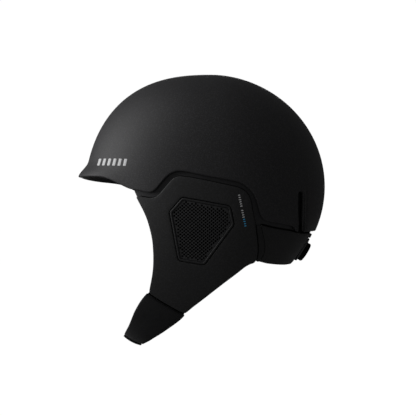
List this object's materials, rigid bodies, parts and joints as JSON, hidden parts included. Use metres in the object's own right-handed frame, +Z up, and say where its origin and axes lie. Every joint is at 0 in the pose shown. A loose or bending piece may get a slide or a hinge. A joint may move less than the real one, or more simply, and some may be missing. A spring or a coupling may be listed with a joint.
{
  "type": "water helmet",
  "caption": "Matt black water helmet with a brow brim, swing-out ear covers with perforated vents, a neoprene chin cup and a dial fit band at the nape.",
  "frame": {"origin": "centre of the crown pad's flat inner face, where the top of the wearer's head rests", "axes": "+Z up through the crown; the wearer faces -Y; the wearer's left ear is on +X"},
  "size_m": [0.1984, 0.2544, 0.2772],
  "materials": {
    "shell": "soft-touch matt black shell paint with a fine speckle",
    "trim": "smooth matt black edge band",
    "flap": "soft-touch matt black ear cover",
    "frame": "satin black moulded frame",
    "mesh": "perforated matt black plate",
    "foam": "closed-cell black foam",
    "pad": "brushed black knit over soft foam",
    "neoprene": "black neoprene with a fine knit face",
    "tape": "black hook and loop tape and webbing",
    "panel": "matt black rear cover",
    "dial": "knurled black fit wheel",
    "housing": "dark grey moulded base plate",
    "band": "flexible black nylon band",
    "steel": "stainless fastener or spring"
  },
  "bodies": {
    "root": {"outer_shell": "shell", "eva_liner": "foam", "edge_trim_left": "trim", "edge_trim_right": "trim", "crown_pad": "pad", "brow_pad": "pad", "side_pad_left": "pad", "side_pad_right": "pad", "rear_pad": "pad", "rear_panel": "panel", "dial_housing": "housing", "detent_ring": "steel", "fit_cover": "housing", "cover_screw_top": "steel", "cover_screw_bottom": "steel", "hinge_rail_left": "band", "hinge_rail_right": "band"},
    "flap_left": {"ear_flap_left": "flap", "ear_vent_frame_left": "frame", "ear_vent_mesh_left": "mesh", "ear_pad_left": "pad", "flap_hinge_left": "tape", "loop_patch": "tape"},
    "flap_right": {"ear_flap_right": "flap", "ear_vent_frame_right": "frame", "ear_vent_mesh_right": "mesh", "ear_pad_right": "pad", "flap_hinge_right": "tape"},
    "chin_cup": {"chin_strap": "neoprene", "chin_strap_patch": "neoprene", "chin_pad": "pad", "hook_tab": "tape"},
    "dial": {"fit_dial": "dial", "drive_pinion": "dial", "dial_screw": "steel", "click_spring": "steel"},
    "band_left": {"fit_band_left": "band", "nape_pad_left": "pad"},
    "band_right": {"fit_band_right": "band", "nape_pad_right": "pad"}
  },
  "joints": [
    {"name": "ear_flap_left_swing", "type": "hinge", "parent": "root", "child": "flap_left", "pos_m": [0.0916, 0, -0.0877], "axis": [0, -0.9917, 0.1289], "range_deg": [0, 18], "stiffness_Nm_per_rad": 2},
    {"name": "ear_flap_right_swing", "type": "hinge", "parent": "root", "child": "flap_right", "pos_m": [-0.0916, 0, -0.0877], "axis": [0, 0.9917, -0.1289], "range_deg": [0, 18], "stiffness_Nm_per_rad": 2},
    {"name": "chin_cup_open", "type": "hinge", "parent": "flap_right", "child": "chin_cup", "pos_m": [-0.07424, -0.04041, -0.2074], "axis": [0.1003, 0.8564, -0.5064], "range_deg": [0, 75], "stiffness_Nm_per_rad": 0.8},
    {"name": "fit_dial_turn", "type": "hinge", "parent": "root", "child": "dial", "pos_m": [0, 0.10017, -0.15814], "axis": [0, 0.848, -0.5299], "range_deg": [-90, 90]},
    {"name": "band_left_slide", "type": "slide", "parent": "root", "child": "band_left", "axis": [1, 0, 0], "range_m": [-0.006, 0.006]},
    {"name": "band_right_slide", "type": "slide", "parent": "root", "child": "band_right", "axis": [-1, 0, 0], "range_m": [-0.006, 0.006]}
  ],
  "couplings": [
    {"joint": "fit_dial_turn", "follows": "band_left_slide", "rad_per_m": 250},
    {"joint": "band_right_slide", "follows": "band_left_slide", "ratio": 1}
  ]
}
